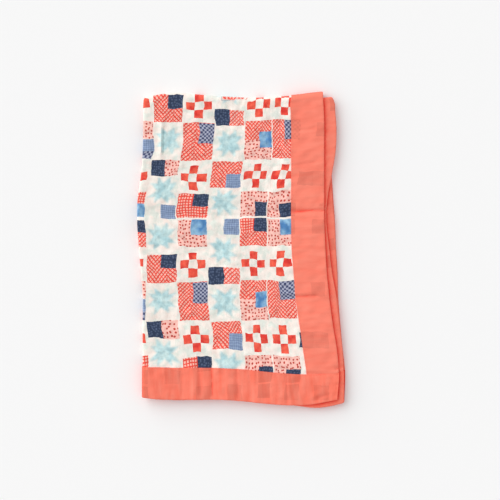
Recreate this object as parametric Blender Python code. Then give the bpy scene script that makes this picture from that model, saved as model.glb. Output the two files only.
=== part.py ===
"""A patchwork baby blanket with a wide sewn binding, folded in half twice and laid flat.

Each piece of cloth is cut flat from a box and then folded. On the flat blanket a point is
(across, along, offset): its distances from the first and the second fold, and its height above
the middle of the cloth, positive on the printed side. The first fold is the left side of the
bundle and the second is its top, which gives four layers:

    layer 1, uppermost   across > 0, along > 0
    layer 2              across < 0, along > 0
    layer 3              across < 0, along < 0
    layer 4, lowermost   across > 0, along < 0

Metres, +Z up. The origin is on the surface, under the middle of the bundle.
"""

import math

import bmesh
import bpy
import numpy as np

MM = 0.001

# The flat blanket
HALF_WIDTH = 371 * MM
HALF_LENGTH = 570 * MM
BORDER = 60 * MM
PANEL_THICKNESS = 2.0 * MM
BINDING_THICKNESS = 0.9 * MM
CLEARANCE = 0.3 * MM

# The fold
LAYER_PITCH = 5.4 * MM
FOLD_BLEND = 20 * MM  # either side of a fold, one layer's outline passes into the next one's
INNER_FOLD_DROP = 7 * MM  # the inner layers turn this much further in at the second fold
SETTLE_START = 5 * MM  # past the border the panel sinks by the binding's thickness
SETTLE_RUN = 40 * MM

# How fine the cloth is divided
FOLD_STEPS = 6
UPPER_STEP = 19 * MM
LOWER_STEP = 34 * MM
ACROSS_STEP = 26 * MM
UPPER_CREASES = (213 * MM, 233 * MM, 373 * MM)  # distances along at which a crease crosses it
EDGE_STEPS = 4
CUT_TOLERANCE = 0.0001 * MM
SHARP_ANGLE = math.radians(50)

# Where the sides of the bundle lie, by distance down from the second fold, in millimetres: the
# first fold in the upper and the lower pair of layers, the seam between panel and binding in
# layer 1, then the side edge of each layer.
SIDE_COLUMNS = ("down", "fold_upper", "fold_lower", "seam_1", "edge_1", "edge_2", "edge_3", "edge_4")
SIDES = (
    (0, -176, -174, 90, 150, 168, 167, 149),
    (27, -176, -173, 91, 151, 172, 169, 153),
    (54, -176, -174, 92, 152, 174, 170, 157),
    (99, -177, -175, 92, 152, 173, 170, 162),
    (144, -180, -178, 92, 152, 166, 164, 166),
    (189, -186, -182, 92, 152, 158, 163, 169),
    (229, -187, -184, 92, 152, 156, 165, 172),
    (279, -184, -183, 93, 154, 161, 168, 174),
    (329, -180, -180, 97, 157, 167, 171, 177),
    (369, -177, -178, 100, 161, 174, 174, 178),
    (423, -177, -176, 108, 168, 180, 178, 182),
    (466, -177, -176, 114, 175, 185, 182, 186),
    (500, -177, -175, 119, 178, 187, 184, 190),
    (567, -177, -175, 124, 175, 187, 184, 189),
)

# Where its top and bottom lie, by distance in from the first fold, in millimetres: the second
# fold, the end seam of layer 1, then the end edge of each layer.
END_COLUMNS = ("inward", "fold", "seam_1", "edge_1", "edge_2", "edge_3", "edge_4")
ENDS = (
    (0, 278, -212, -267, -267, -264, -264),
    (26, 281, -212, -270, -268, -265, -265),
    (56, 285, -213, -271, -272, -266, -267),
    (95, 283, -213, -271, -271, -267, -269),
    (153, 279, -214, -271, -269, -268, -271),
    (190, 277, -216, -274, -273, -271, -273),
    (231, 276, -220, -278, -276, -273, -276),
    (280, 278, -224, -281, -282, -276, -280),
    (320, 280, -225, -279, -286, -278, -282),
    (345, 282, -224, -275, -283, -278, -282),
    (370, 284, -222, -271, -277, -274, -277),
)

# Soft ridges and troughs in the upper layers, in millimetres: from one point to another, as
# distances inward from the first fold and down from the second.
CREASE_COLUMNS = ("inward_1", "down_1", "inward_2", "down_2", "half_width", "height")
CREASES = (
    (0, 222, 370, 213, 13, -1.8),  # across the whole bundle, where it was folded in its pack
    (0, 240, 370, 233, 14, 0.9),
    (290, 373, 371, 377, 9, -1.6),
    (0, 372, 290, 366, 16, -0.6),
    (38, 45, 38, 120, 7, 1.8),
    (262, 8, 236, 60, 9, 1.6),
    (312, 6, 298, 70, 9, 1.6),
    (300, 120, 262, 205, 11, 1.2),
    (92, 508, 96, 566, 8, 1.6),
    (128, 500, 128, 566, 7, -1.4),
    (163, 504, 158, 566, 9, 1.6),
    (214, 500, 214, 566, 8, 1.3),
    (60, 250, 84, 470, 16, 0.9),
    (190, 260, 176, 440, 18, 0.9),
)

# Relief of the whole stack, full at the top layer and none at the surface
FIRST_FOLD_PUFF = 1.6 * MM
SECOND_FOLD_PUFF = 1.2 * MM
PUFF_RUN = 26 * MM
MIDDLE_SINK = 2.6 * MM
WAVE_HEIGHT = 0.7 * MM
WAVE_ACROSS = 118 * MM
WAVE_DOWN = 171 * MM
WAVE_PHASE = 0.1

# Where the middle of the bundle lies in the tables above
TABLE_MIDDLE_X = 2.3 * MM
TABLE_MIDDLE_Y = -1.0 * MM

PAIR_RADIUS = LAYER_PITCH / 2
STACK_RADIUS = LAYER_PITCH
BINDING_OFFSET = PANEL_THICKNESS / 2 + CLEARANCE + BINDING_THICKNESS / 2
BINDING_LIFT = CLEARANCE + BINDING_THICKNESS
LAYER_HALF = PANEL_THICKNESS / 2 + BINDING_LIFT
STACK_MIDDLE = STACK_RADIUS + PAIR_RADIUS + LAYER_HALF
PANEL_INSET = BINDING_THICKNESS / 2 + BINDING_OFFSET

CORAL = (0.93, 0.22, 0.14)
MUSLIN = (0.90, 0.80, 0.72)


def columns(names, rows):
    """A table's columns by name, as arrays in metres."""
    return dict(zip(names, np.array(rows, float).T * MM))


SIDE = columns(SIDE_COLUMNS, SIDES)
END = columns(END_COLUMNS, ENDS)


def smooth(value):
    """0 below 0 and 1 above 1, with level ends."""
    held = np.clip(value, 0.0, 1.0)
    return held * held * (3 - 2 * held)


def mixed(low, high, share):
    return low + (high - low) * share


def eased(where, stations, values):
    """A smooth curve through a table's values: a cubic between each two rows."""
    slopes = np.gradient(values, stations)
    row = np.clip(np.searchsorted(stations, where) - 1, 0, len(stations) - 2)
    gap = stations[row + 1] - stations[row]
    part = np.clip((where - stations[row]) / gap, 0.0, 1.0)
    start = values[row] * (1 + 2 * part) + slopes[row] * gap * part
    finish = values[row + 1] * (3 - 2 * part) - slopes[row + 1] * gap * (1 - part)
    return start * (1 - part) ** 2 + finish * part**2


def hairpin(distance, radius, offset):
    """Cloth folded back on itself: its run away from the fold, and its height over the middle."""
    quarter_turn = math.pi / 2
    turn = np.clip(distance / radius, -quarter_turn, quarter_turn)
    run = radius - (radius + offset) * np.cos(turn)
    run = run + np.maximum(0.0, np.abs(distance) - radius * quarter_turn)
    return run, (radius + offset) * np.sin(turn)


def hairpin_length(run, radius):
    """The distance along the cloth at which a hairpin has this run."""
    return run - radius + radius * math.pi / 2


ACROSS_REACH = hairpin(HALF_WIDTH, PAIR_RADIUS, 0.0)[0]
DOWN_REACH = hairpin(HALF_LENGTH, STACK_RADIUS, 0.0)[0]


def spread(run, reach, fold, seam, edge):
    """Lays a run between the fold and the cloth's edge, even on either side of the seam."""
    seam_run = reach - BORDER
    cloth = fold + (seam - fold) * run / seam_run
    border = seam + (edge - seam) * (run - seam_run) / BORDER
    return np.where(run < seam_run, cloth, border)


def placed(across, along, inward, down):
    """Where a point lies seen from above, from the tables' outline for its own layer."""
    outer = smooth((across + FOLD_BLEND) / (2 * FOLD_BLEND))
    upper = smooth((along + FOLD_BLEND) / (2 * FOLD_BLEND))

    def side(name):
        return eased(down, SIDE["down"], SIDE[name])

    def end(name):
        return eased(inward, END["inward"], END[name])

    left = mixed(side("fold_lower"), side("fold_upper"), upper) + LAYER_HALF
    outer_edge = mixed(side("edge_4"), side("edge_1"), upper)
    inner_edge = mixed(side("edge_3"), side("edge_2"), upper)
    right = mixed(inner_edge, outer_edge, outer)
    even_seam = left + (right - left) * (1 - BORDER / ACROSS_REACH)
    side_seam = mixed(even_seam, side("seam_1"), outer * upper)
    top = end("fold") - INNER_FOLD_DROP * (1 - outer) - PAIR_RADIUS - LAYER_HALF
    upper_edge = mixed(end("edge_2"), end("edge_1"), outer)
    lower_edge = mixed(end("edge_3"), end("edge_4"), outer)
    bottom = mixed(lower_edge, upper_edge, upper)
    even_seam = top + (bottom - top) * (1 - BORDER / DOWN_REACH)
    end_seam = mixed(even_seam, end("seam_1"), outer * upper)
    x = spread(inward, ACROSS_REACH, left, side_seam, right) - TABLE_MIDDLE_X
    y = spread(down, DOWN_REACH, top, end_seam, bottom) - TABLE_MIDDLE_Y
    return x, y


def relief(inward, down):
    """How far the uppermost layer rises or sinks."""
    height = FIRST_FOLD_PUFF * np.exp(-((inward / PUFF_RUN) ** 2))
    height = height + SECOND_FOLD_PUFF * np.exp(-((down / PUFF_RUN) ** 2))
    middle = np.sin(math.pi * np.clip(inward / ACROSS_REACH, 0, 1))
    middle = middle * np.sin(math.pi * np.clip(down / DOWN_REACH, 0, 1))
    height = height - MIDDLE_SINK * middle
    waves = np.sin(2 * math.pi * (inward / WAVE_ACROSS + WAVE_PHASE))
    height = height + WAVE_HEIGHT * waves * np.sin(2 * math.pi * down / WAVE_DOWN)
    for row in CREASES:
        crease = dict(zip(CREASE_COLUMNS, np.array(row) * MM))
        start = np.array((crease["inward_1"], crease["down_1"]))
        course = np.array((crease["inward_2"], crease["down_2"])) - start
        from_start = np.stack((inward, down), axis=-1) - start
        part = np.clip(from_start @ course / (course @ course), 0.0, 1.0)
        away = np.linalg.norm(from_start - part[..., None] * course, axis=-1)
        height = height + crease["height"] * np.exp(-((away / crease["half_width"]) ** 2))
    return height


def folded(across, along, offset):
    """Where points of the flat blanket lie once it is folded in half twice."""
    inward, rise = hairpin(across, PAIR_RADIUS, offset)
    down, height = hairpin(along, STACK_RADIUS, rise)
    x, y = placed(across, along, inward, down)
    level = STACK_MIDDLE + height
    from_hem = np.minimum(HALF_WIDTH - np.abs(across), HALF_LENGTH - np.abs(along))
    settled = smooth((from_hem - BORDER - SETTLE_START) / SETTLE_RUN)
    share = np.maximum(0.0, (level - BINDING_LIFT) / (2 * STACK_MIDDLE - BINDING_LIFT))
    z = level - BINDING_LIFT * settled + share * relief(inward, down)
    return np.stack((x, y, z), axis=-1)


def on_side_edge(edge):
    """Folds a strip in half round one side edge of the blanket: 1 is the outer, -1 the inner."""

    def strip(round_edge, along, offset):
        run, height = hairpin(round_edge, BINDING_OFFSET, offset)
        across = edge * (HALF_WIDTH - BINDING_THICKNESS / 2 - run)
        return folded(across, along, height)

    return strip


def on_end_edge(edge):
    """Folds a strip in half round one end edge of the blanket: 1 is the upper, -1 the lower."""

    def strip(across, round_edge, offset):
        run, height = hairpin(round_edge, BINDING_OFFSET, offset)
        along = edge * (HALF_LENGTH - BINDING_THICKNESS / 2 - run)
        return folded(across, along, height)

    return strip


def divided(marks, step):
    """Stations from the first mark to the last, through each, about one step apart."""
    found = [marks[0]]
    for low, high in zip(marks, marks[1:]):
        count = max(1, round((high - low) / step))
        found.extend(np.linspace(low, high, count + 1)[1:])
    return found


def across_stations(reach):
    """Stations from one side edge to the other, close together round the first fold."""
    bend = PAIR_RADIUS * math.pi / 2
    half = divided((bend, HALF_WIDTH - BORDER), ACROSS_STEP) + [HALF_WIDTH - BORDER / 2, reach]
    turn = list(np.linspace(-bend, bend, FOLD_STEPS + 1))[1:-1]
    return [-s for s in reversed(half)] + turn + half


def along_stations(reach):
    """Stations from one end to the other, close together round the second fold and over the creases."""
    bend = STACK_RADIUS * math.pi / 2
    border = HALF_LENGTH - BORDER
    upper = divided((bend, *UPPER_CREASES, border), UPPER_STEP)
    lower = divided((bend, border), LOWER_STEP)
    ends = [border, HALF_LENGTH - BORDER / 2, reach] if reach > border else [reach]
    upper, lower = upper[:-1] + ends, lower[:-1] + ends
    turn = list(np.linspace(-bend, bend, FOLD_STEPS + 1))[1:-1]
    return [-s for s in reversed(lower)] + turn + upper


def round_edge_stations():
    """Stations across a binding strip, close together where it turns round the edge."""
    bend = BINDING_OFFSET * math.pi / 2
    from_hem = np.array((BORDER / 2, BORDER))
    flat = list(hairpin_length(from_hem - BINDING_THICKNESS / 2, BINDING_OFFSET))
    turn = list(np.linspace(-bend, bend, EDGE_STEPS + 1))
    return [-s for s in reversed(flat)] + turn + flat


def fabric(name, colour):
    """A matt woven cotton in one colour."""
    material = bpy.data.materials.new(name)
    material.use_nodes = True
    shader = material.node_tree.nodes["Principled BSDF"]
    shader.inputs["Base Color"].default_value = (*colour, 1.0)
    shader.inputs["Roughness"].default_value = 0.9
    shader.inputs["Metallic"].default_value = 0.0
    return material


def sewn_piece(name, stations_x, stations_y, thickness, fold, material, collection):
    """Cuts a flat box of cloth at the stations, then moves each point to where fold puts it."""
    cloth = bmesh.new()
    bmesh.ops.create_cube(cloth, size=1.0)
    low = np.array((stations_x[0], stations_y[0], -thickness / 2))
    high = np.array((stations_x[-1], stations_y[-1], thickness / 2))
    for vert in cloth.verts:
        vert.co = (low + high) / 2 + np.array(vert.co) * (high - low)
    for axis, stations in enumerate((stations_x, stations_y)):
        normal = np.eye(3)[axis]
        for station in stations[1:-1]:
            everything = cloth.verts[:] + cloth.edges[:] + cloth.faces[:]
            bmesh.ops.bisect_plane(
                cloth, geom=everything, dist=CUT_TOLERANCE, plane_co=normal * station, plane_no=normal
            )
    flat = np.array([vert.co for vert in cloth.verts])
    for vert, place in zip(cloth.verts, fold(*flat.T)):
        vert.co = place
    if cloth.calc_volume(signed=True) < 0:
        bmesh.ops.reverse_faces(cloth, faces=cloth.faces)
    mesh = bpy.data.meshes.new(name)
    cloth.to_mesh(mesh)
    cloth.free()
    mesh.shade_smooth()
    mesh.set_sharp_from_angle(angle=SHARP_ANGLE)
    mesh.materials.append(material)
    piece = bpy.data.objects.new(name, mesh)
    collection.objects.link(piece)
    return piece


def patchwork_panel(material, collection):
    return sewn_piece(
        "patchwork_panel",
        across_stations(HALF_WIDTH - PANEL_INSET),
        along_stations(HALF_LENGTH - PANEL_INSET),
        PANEL_THICKNESS,
        folded,
        material,
        collection,
    )


def side_binding(name, edge, material, collection):
    """A strip along one side edge, ending where the end strips cross it."""
    return sewn_piece(
        name,
        round_edge_stations(),
        along_stations(HALF_LENGTH - BORDER - CLEARANCE),
        BINDING_THICKNESS,
        on_side_edge(edge),
        material,
        collection,
    )


def end_binding(name, edge, material, collection):
    """A strip over the whole width of one end, corners included."""
    return sewn_piece(
        name,
        across_stations(HALF_WIDTH),
        round_edge_stations(),
        BINDING_THICKNESS,
        on_end_edge(edge),
        material,
        collection,
    )


def build():
    for old in list(bpy.data.objects):
        bpy.data.objects.remove(old)
    collection = bpy.data.collections.new("folded_patchwork_blanket")
    bpy.context.scene.collection.children.link(collection)
    muslin = fabric("printed_cotton_muslin", MUSLIN)
    coral = fabric("coral_cotton_muslin", CORAL)
    patchwork_panel(muslin, collection)
    side_binding("side_binding_outer", 1, coral, collection)
    side_binding("side_binding_inner", -1, coral, collection)
    end_binding("end_binding_upper", 1, coral, collection)
    end_binding("end_binding_lower", -1, coral, collection)


build()
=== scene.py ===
import math

import bpy
import numpy as np
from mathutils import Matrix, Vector


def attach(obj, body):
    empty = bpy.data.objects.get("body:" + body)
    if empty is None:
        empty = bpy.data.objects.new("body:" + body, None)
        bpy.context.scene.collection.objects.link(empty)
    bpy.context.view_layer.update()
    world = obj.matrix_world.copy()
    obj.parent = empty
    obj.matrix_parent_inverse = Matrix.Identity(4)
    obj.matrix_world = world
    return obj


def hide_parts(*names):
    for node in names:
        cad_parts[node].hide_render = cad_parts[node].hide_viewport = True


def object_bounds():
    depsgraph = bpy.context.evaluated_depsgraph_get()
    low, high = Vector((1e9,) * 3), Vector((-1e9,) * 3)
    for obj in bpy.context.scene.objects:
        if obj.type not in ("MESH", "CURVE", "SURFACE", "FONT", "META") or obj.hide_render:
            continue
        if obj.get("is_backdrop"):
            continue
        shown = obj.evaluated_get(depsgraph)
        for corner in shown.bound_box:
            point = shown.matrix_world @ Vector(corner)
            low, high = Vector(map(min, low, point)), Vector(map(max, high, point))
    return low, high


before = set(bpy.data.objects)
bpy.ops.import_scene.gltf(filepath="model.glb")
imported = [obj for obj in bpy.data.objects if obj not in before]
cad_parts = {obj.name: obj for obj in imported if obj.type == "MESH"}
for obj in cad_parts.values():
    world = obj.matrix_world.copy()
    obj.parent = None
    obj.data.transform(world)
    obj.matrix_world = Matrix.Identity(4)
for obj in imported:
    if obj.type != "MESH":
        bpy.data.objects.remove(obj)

bl_info = {
    "name": "Folded Patchwork Blanket",
    "version": (1, 0, 0),
    "blender": (4, 5, 0),
    "location": "View3D > Sidebar > Blanket",
    "description": "A block-printed patchwork baby blanket with a wide binding, folded in half twice",
    "category": "Object",
}

# The flat blanket is (across, along, offset): distances from its first and its second fold, and
# height above the middle of the cloth, positive on the printed side. Folded, the first fold is
# the left side of the bundle and the second is its top, which gives four layers:
#
#     layer 1, uppermost   across > 0, along > 0
#     layer 2              across < 0, along > 0
#     layer 3              across < 0, along < 0
#     layer 4, lowermost   across > 0, along < 0
#
# Metres, +Z up. The folds and the sizes are those of the solids. The drop of the inner fold and
# some rows of the outline's tables differ from theirs by up to 6 mm, to lie closer to the photo.

MM = 0.001
CAD_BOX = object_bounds()
BODY = "root"
TABLE_LEVEL = CAD_BOX[0][2]
STACK_TOP = CAD_BOX[1][2]

# The flat blanket
HALF_WIDTH = 371 * MM
HALF_LENGTH = 570 * MM
BORDER = 60 * MM
PANEL_THICKNESS = 2.0 * MM
BINDING_THICKNESS = 0.9 * MM
CLEARANCE = 0.3 * MM

# The fold
LAYER_PITCH = 5.4 * MM
FOLD_BLEND = 20 * MM  # either side of a fold, one layer's outline passes into the next one's
INNER_FOLD_DROP = 4.5 * MM  # the inner layers turn this much further in at the second fold
SETTLE_START = 5 * MM  # past the border the panel sinks by the binding and its clearance
SETTLE_RUN = 40 * MM

# Where the sides of the bundle lie, by distance down from the second fold, in millimetres: the
# first fold in the upper and the lower pair of layers, the seam between panel and binding in
# layer 1, then the side edge of each layer.
SIDE_COLUMNS = ("down", "fold_upper", "fold_lower", "seam_1", "edge_1", "edge_2", "edge_3", "edge_4")
SIDES = (
    (0, -176, -174, 90, 150, 167, 165, 149),
    (12, -176, -174, 90, 150, 171, 168, 151),
    (27, -176, -173, 91, 151, 172, 169, 153),
    (54, -176, -174, 92, 152, 174, 170, 157),
    (99, -177, -175, 92, 152, 173, 170, 162),
    (144, -180, -178, 92, 152, 166, 165, 166),
    (189, -186, -182, 92, 152, 158, 167, 169),
    (229, -187, -184, 92, 152, 156, 171, 172),
    (279, -184, -183, 93, 154, 161, 173, 174),
    (329, -180, -180, 97, 157, 167, 176, 177),
    (369, -177, -178, 100, 161, 174, 177, 178),
    (423, -177, -176, 108, 168, 180, 178, 182),
    (466, -177, -176, 114, 175, 185, 182, 186),
    (500, -177, -175, 119, 178, 187, 184, 190),
    (567, -177, -175, 124, 175, 187, 184, 189),
)

# Where its top and bottom lie, by distance in from the first fold, in millimetres: the second
# fold, the end seam of layer 1, then the end edge of each layer.
END_COLUMNS = ("inward", "fold", "seam_1", "edge_1", "edge_2", "edge_3", "edge_4")
ENDS = (
    (0, 278, -212, -267, -267, -264, -264),
    (26, 281, -212, -270, -268, -265, -265),
    (56, 285, -213, -271, -272, -266, -267),
    (95, 283, -213, -271, -271, -267, -269),
    (153, 279, -214, -271, -269, -268, -271),
    (190, 277, -216, -274, -273, -271, -273),
    (231, 276, -220, -278, -276, -273, -276),
    (280, 278, -224, -281, -282, -276, -280),
    (320, 280.5, -225, -279, -286, -278, -282),
    (345, 283.5, -224, -275, -283, -278, -282),
    (370, 286, -222, -271, -277, -274, -277),
)

# Soft ridges and troughs in the upper layers, in millimetres: from one point to another, as
# distances inward from the first fold and down from the second.
CREASE_COLUMNS = ("inward_1", "down_1", "inward_2", "down_2", "half_width", "height")
CREASES = (
    (0, 222, 370, 213, 13, -1.8),  # across the whole bundle, where it was folded in its pack
    (0, 240, 370, 233, 14, 0.9),
    (290, 373, 371, 377, 9, -1.6),
    (0, 372, 290, 366, 16, -0.6),
    (38, 45, 38, 120, 7, 1.8),
    (262, 8, 236, 60, 9, 1.6),
    (312, 6, 298, 70, 9, 1.6),
    (300, 120, 262, 205, 11, 1.2),
    (92, 508, 96, 566, 8, 1.6),
    (128, 500, 128, 566, 7, -1.4),
    (163, 504, 158, 566, 9, 1.6),
    (214, 500, 214, 566, 8, 1.3),
    (60, 250, 84, 470, 16, 0.9),
    (190, 260, 176, 440, 18, 0.9),
)

# Sharper tucks and pulls that the solids leave out, in the same columns
TUCKS = (
    (364, 203, 371, 205, 2.6, -2.6),
    (366, 499, 371, 499, 2.4, -2.4),
    (366, 531, 371, 531, 2.4, -1.8),
    (38, 60, 37.5, 108, 3.0, 1.4),  # a pinch through the first column of stars
    (42.6, 60, 42.6, 108, 1.9, -2.9),
    (49, 60, 48, 108, 7.0, -0.4),
    (0, 222, 180, 220, 3.2, -1.0),
    (180, 220, 268, 214, 3.2, -1.3),
    (262, 142, 256, 152, 2.0, -1.3),
    (266, 0, 258, 22, 2.4, -1.2),
    (208, 2, 201, 24, 2.6, -1.0),
    (150, 0, 147, 40, 4.0, -0.6),
    (60, 0, 62, 30, 3.6, -0.6),
    (284, 14, 332, 10, 3.0, -0.9),
    (300, 63, 352, 62, 2.6, -1.2),
    (272, 126, 352, 124, 2.6, -1.3),
    (262, 206, 371, 212, 2.6, -2.6),
    (272, 214, 352, 219, 3.6, 1.2),
    (290, 363, 346, 366, 2.6, -2.2),
    (286, 357, 340, 359, 3.4, 0.6),
    (312, 505, 368, 509, 2.6, -1.6),
    (330, 555, 352, 552, 3.0, -1.4),
    (72, 504, 74, 560, 3.0, -1.0),
    (88, 504, 90, 560, 3.0, -0.9),
    (106, 500, 108, 556, 3.0, -1.9),
    (130, 504, 130, 560, 2.6, -1.8),
    (150, 504, 154, 560, 3.2, -0.9),
    (177, 506, 177, 560, 2.6, -1.8),
    (200, 506, 203, 556, 3.0, -0.9),
    (215, 508, 215, 532, 2.6, -1.2),
    (270, 512, 270, 562, 2.6, -1.8),
)

# Relief of the whole stack, full at the top layer and none at the surface
FIRST_FOLD_PUFF = 1.6 * MM
SECOND_FOLD_PUFF = 1.2 * MM
PUFF_RUN = 26 * MM
MIDDLE_SINK = 2.6 * MM
WAVE_HEIGHT = 0.7 * MM
WAVE_ACROSS = 118 * MM
WAVE_DOWN = 171 * MM
WAVE_PHASE = 0.1

# The crinkle of washed muslin: many small waves of random course, in millimetres
CRINKLE_WAVES = 48
CRINKLE_LENGTHS = (13, 34)
CRINKLE_SEED = 7

# Where the middle of the bundle lies in the tables above
TABLE_MIDDLE_X = 2.3 * MM
TABLE_MIDDLE_Y = -1.0 * MM

PAIR_RADIUS = LAYER_PITCH / 2
STACK_RADIUS = LAYER_PITCH
BINDING_OFFSET = PANEL_THICKNESS / 2 + CLEARANCE + BINDING_THICKNESS / 2
BINDING_LIFT = CLEARANCE + BINDING_THICKNESS
LAYER_HALF = PANEL_THICKNESS / 2 + BINDING_LIFT
STACK_MIDDLE = STACK_RADIUS + PAIR_RADIUS + LAYER_HALF
PANEL_INSET = BINDING_THICKNESS / 2 + BINDING_OFFSET
ROUND_EDGE_WIDTH = 2 * (BORDER - BINDING_THICKNESS / 2 - BINDING_OFFSET + BINDING_OFFSET * math.pi / 2)

# How fine the cloth is divided: close in layer 1, which is seen, and wider below
FOLD_STEPS = 10
EDGE_STEPS = 8
FINE_STEP = 2.5 * MM
HIDDEN_STEP = 3.0 * MM  # in the panel's border, under the strips
STRIP_STEP = 2.7 * MM
WIDE_STEP = 18 * MM
SHARP_ANGLE = math.radians(50)

# The print's columns of patches: where the middle of each lies across the bundle, in
# millimetres, level with the middle of its length. They are closer where the cloth is gathered.
COLUMN_MIDDLES = (-198, -144, -87, -31, 23.5, 71.5, 125.5)
COLUMN_WIDTH = 55.0  # millimetres
REPEAT_LENGTH = 287.0  # millimetres

# Columns counted on before and after these, in whole rounds of the seven, and repeats counted on
# above the first, so that no count is negative
COLUMNS_BEYOND = 21
REPEATS_BEYOND = 6

# How the columns lean: height up the bundle, and shift to the right, in millimetres
LEAN = ((-270, 5.4), (-160, 5.4), (-95, 0), (-25, 0), (43, 0.9), (131, 4.5), (194, 9), (261, 10.8))

# How the print is eased along the bundle: height up the bundle, and distance down the print
EASE = (
    (-600, 867.4),
    (-212, 479.7),
    (-192, 462.6),
    (-160, 434.7),
    (-127, 405.0),
    (-92, 370.8),
    (279, 0),
)

# Where gathers and tucks pull the print away from that, in millimetres: how far across and up
# the bundle, and how far right and up it is pulled there.
PULL_COLUMNS = ("across", "up", "right_by", "up_by")
PULLS = (
    (-163, 216, 6.7, 0), (-161, 187, 7.2, 0), (-132, 198, 2.7, 0), (-130, 270, 2.7, 0),
    (-148, 150, 2.7, 0), (-114, 150, -3.1, 0), (-89, 132, -6.5, 0.9), (-76, 261, 0.9, 0),
    (-64, 211, 1.8, 0), (-22, 191, 0.7, -1.8), (-54, 114, -2.7, 0), (-134, 70, -5.4, 0),
    (-90, 81, -5.9, 1.1), (-33, 86, -5.4, 0), (-175, 72, -5.4, 0), (-146, 22, -4.1, -4.5),
    (-65, 40, -5.4, 0), (-90, 40, -5.4, 0), (-112, 32, -0.9, 0), (-18, 43, -0.7, 0),
    (-33, -2, -2.2, -1.4), (-130, -27, 0, -3.6), (-146, -58, 0, -4.5), (-89, -25, -0.9, 0.9),
    (-46, -30, -2.2, 3.2), (-6, -45, 2.2, 0), (-157, -130, -4.9, -3.6), (-143, -153, -4.9, 0),
    (-83, -160, 0, 1.1), (-28, -151, 5.4, 3.6), (-28, -174, 3.6, 3.6), (-139, -164, 0, -2.7),
    (-139, -203, 0, 7.2), (-80, -191, 3.6, 3.6), (-96, -200, 4.5, -4.5), (-24, -198, 2.2, 0),
    (-127, -5, 0, 5.4), (77, 263, -5.4, 0), (77, 220, -5.4, 2.7), (26, 135, 0, 3.6), (74, 136, -3.6, 5),
    (66, 74, -7.9, -0.5), (70, 43, -3.8, 0.9), (23, 74, -1.8, 0), (23, 45, -2.4, 1.4),
    (21, -23, -1.8, 1.4), (68, -23, -2.9, 0), (68, -74, -5, -3.6), (26, -90, 2.7, -1.8),
    (48, -90, 0, 0), (30, -216, 2.7, 0), (8, -202, 5.4, 0), (55, -212, 5.4, 0),
    (108, -216, 5.4, 0), (80, -216, 3.6, 0), (16, 259, -1.8, -1.8), (44, 262, -0.9, 2.7),
    (26, 123, -3.6, 3.6), (27, 148, 0.9, 3.6), (75, 151, 4.5, 2.2), (72, 122, -7.2, 2.7),
)
PULL_REACH = 18.0
PULL_REST = 0.25  # the weight of no pull at all, against one where it is strongest

# A lap of the cloth along the top, where the print of a lower row shows: from and to across the
# bundle, from and to up it, and how much further down the print that is, in millimetres
LAP = {"left": -35, "right": 10, "bottom": 269.5, "top": 286, "further": 128}

# One repeat of the print, charted in millimetres down from its top. Every column has a left and
# a right half, and one name alone fills both.
CHART_COLUMNS = ("top", "bottom", "left", "right")
CHART = {
    "first": (
        (-8, 36, "cross"),
        (45, 78, "herringbone", "ticks"),
        (79, 101, "herringbone", "violet"),
        (101, 114, "herringbone", "speckle"),
        (124, 168, "cross"),
        (173, 196, "lattice"),
        (196, 219.5, "lattice", "blue"),
        (225, 247.5, "herringbone", "navy"),
        (247.5, 272, "herringbone"),
    ),
    "second": (
        (1, 23.5, "herringbone", "navy"),
        (23.5, 46, "herringbone"),
        (57, 105, "star"),
        (116, 145, "navy", "ticks"),
        (147, 195, "star"),
        (197, 221.5, "plain", "violet"),
        (229, 277, "star"),
    ),
    "third": (
        (-3, 41, "cross"),
        (48.5, 50, "herringbone"),
        (50, 86.5, "herringbone", "speckle"),
        (86.5, 117, "herringbone"),
        (126.5, 170.5, "cross"),
        (177, 199, "lattice", "navy"),
        (199, 220.5, "lattice"),
        (224, 252, "ticks", "blue"),
        (252, 272, "ticks"),
    ),
    "fourth": (
        (-32, 16, "star"),
        (25, 53, "navy", "faded"),
        (61.5, 109.5, "star"),
        (119.5, 142, "herringbone"),
        (142, 165.5, "herringbone", "violet"),
        (168.5, 216.5, "star"),
        (221.5, 251, "plain", "violet"),
    ),
    "fifth": (
        (-5, 39, "cross"),
        (45, 65.5, "herringbone"),
        (65.5, 79, "herringbone", "blue"),
        (79, 93.5, "ticks", "blue"),
        (93.5, 117, "ticks"),
        (124.5, 168.5, "cross"),
        (173, 191.5, "ticks"),
        (191.5, 218, "ticks", "navy"),
        (221.5, 246, "lattice", "navy"),
        (246, 271, "herringbone"),
    ),
    "sixth": (
        (-7, 37, "cross"),
        (45, 79, "herringbone", "speckle"),
        (79, 113.5, "herringbone"),
        (125.5, 169.5, "cross"),
        (173, 193.5, "ticks"),
        (193.5, 219.5, "ticks", "navy"),
        (222, 251, "ticks", "blue"),
        (251, 270, "ticks"),
    ),
    "seventh": (
        (49.5, 73, "plain", "blue"),
        (136, 162, "navy", "violet"),
        (223, 250, "plain", "blue"),
    ),
}
PATCH_HALF_WIDTH = 26.5
CROSS_SQUARE = 7.4  # half a side of each of the cross's squares
CROSS_REACH = 22.2
STAR_SQUARE = 12.8  # half a side of the star's middle square
STAR_NOTCH = 14.5  # from its middle to the bottom of the notch between two points
STAR_POINT = 26.0  # from its middle to the level of the points
STAR_SOFTNESS = 4.0  # how far its watery ink bleeds
STAR_INK = (0.95, 0.75)  # how strong the ink is at the notches and at the points

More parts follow.
